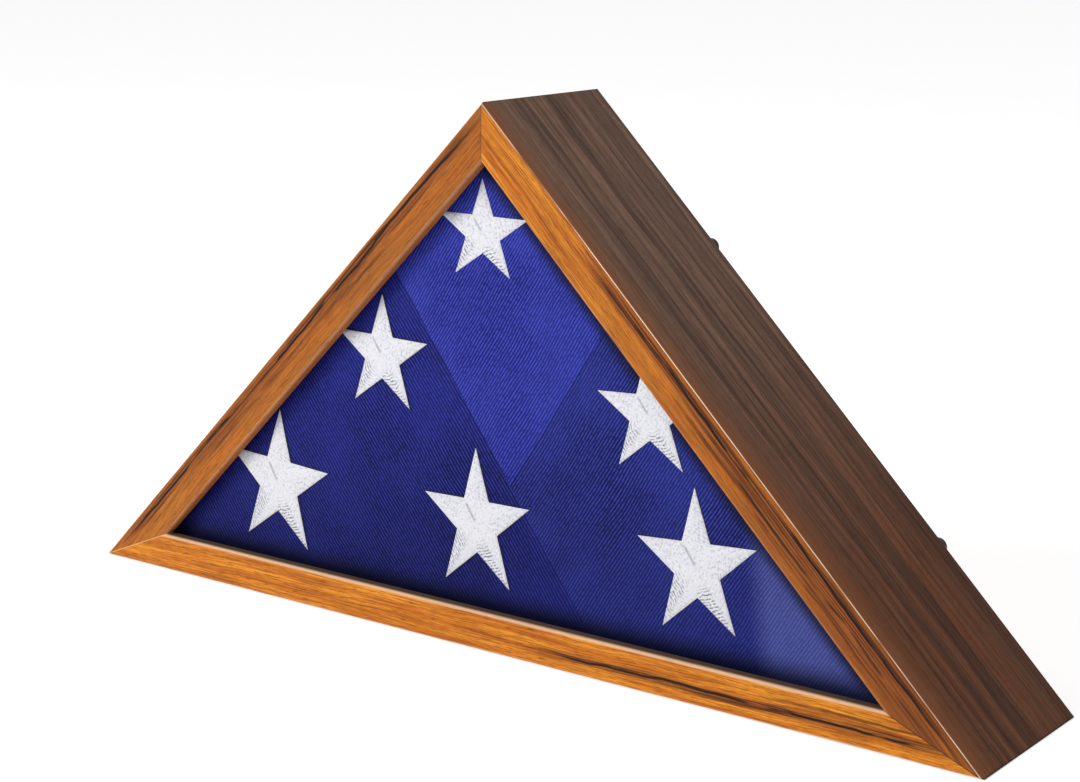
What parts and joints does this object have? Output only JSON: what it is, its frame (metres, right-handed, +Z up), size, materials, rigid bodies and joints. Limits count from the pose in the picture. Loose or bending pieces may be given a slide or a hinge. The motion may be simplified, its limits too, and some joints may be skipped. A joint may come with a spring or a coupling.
{
  "type": "folded flag display case",
  "caption": "Triangular wood-look shadow box with a glazed front and a folded flag inside, closed by a back panel under turn buttons and hung from a sawtooth hanger.",
  "frame": {"origin": "centre of the long side's underside: half way along it, and half way between the front of the lips and the back of the walls", "axes": "+X along the long side, to the right seen from the glass; +Y from the glass to the back panel; +Z up to the right-angled corner"},
  "size_m": [0.4, 0.0744, 0.2],
  "materials": {
    "rail_wrap": "satin walnut-look foil over fibreboard",
    "liner_board": "dark painted fibreboard",
    "panel_veneer": "matt beech-look foil on fibreboard",
    "clear_glass": "clear float glass",
    "flag_cloth": "woven nylon with embroidered stars",
    "black_plastic": "gloss black moulding",
    "black_steel": "satin black stamped steel",
    "black_screw": "black zinc",
    "nail_steel": "bright steel"
  },
  "bodies": {
    "box": {"base_rail": "rail_wrap", "left_rail": "rail_wrap", "right_rail": "rail_wrap", "base_liner": "liner_board", "left_liner": "liner_board", "right_liner": "liner_board", "left_corner_v_nail_1": "nail_steel", "left_corner_v_nail_2": "nail_steel", "right_corner_v_nail_1": "nail_steel", "right_corner_v_nail_2": "nail_steel", "apex_v_nail_1": "nail_steel", "glass_pane": "clear_glass", "back_panel": "panel_veneer", "folded_flag": "flag_cloth", "sawtooth_hanger": "black_steel", "right_upper_button_screw": "black_screw", "right_lower_button_screw": "black_screw", "left_upper_button_screw": "black_screw", "left_lower_button_screw": "black_screw", "base_left_button_screw": "black_screw", "base_right_button_screw": "black_screw", "left_hanger_screw": "black_screw", "right_hanger_screw": "black_screw"},
    "right_upper_button": {"right_upper_turn_button": "black_plastic"},
    "right_lower_button": {"right_lower_turn_button": "black_plastic"},
    "left_upper_button": {"left_upper_turn_button": "black_plastic"},
    "left_lower_button": {"left_lower_turn_button": "black_plastic"},
    "base_left_button": {"base_left_turn_button": "black_plastic"},
    "base_right_button": {"base_right_turn_button": "black_plastic"}
  },
  "joints": [
    {"name": "right_upper_button_turn", "type": "hinge", "parent": "box", "child": "right_upper_button", "pos_m": [0.04914, 0.035, 0.1452], "axis": [0, 1, 0], "continuous": true},
    {"name": "right_lower_button_turn", "type": "hinge", "parent": "box", "child": "right_lower_button", "pos_m": [0.1452, 0.035, 0.04914], "axis": [0, 1, 0], "continuous": true},
    {"name": "left_upper_button_turn", "type": "hinge", "parent": "box", "child": "left_upper_button", "pos_m": [-0.04914, 0.035, 0.1452], "axis": [0, 1, 0], "continuous": true},
    {"name": "left_lower_button_turn", "type": "hinge", "parent": "box", "child": "left_lower_button", "pos_m": [-0.1452, 0.035, 0.04914], "axis": [0, 1, 0], "continuous": true},
    {"name": "base_left_button_turn", "type": "hinge", "parent": "box", "child": "base_left_button", "pos_m": [-0.1, 0.035, 0.004], "axis": [0, 1, 0], "continuous": true},
    {"name": "base_right_button_turn", "type": "hinge", "parent": "box", "child": "base_right_button", "pos_m": [0.1, 0.035, 0.004], "axis": [0, 1, 0], "continuous": true}
  ]
}
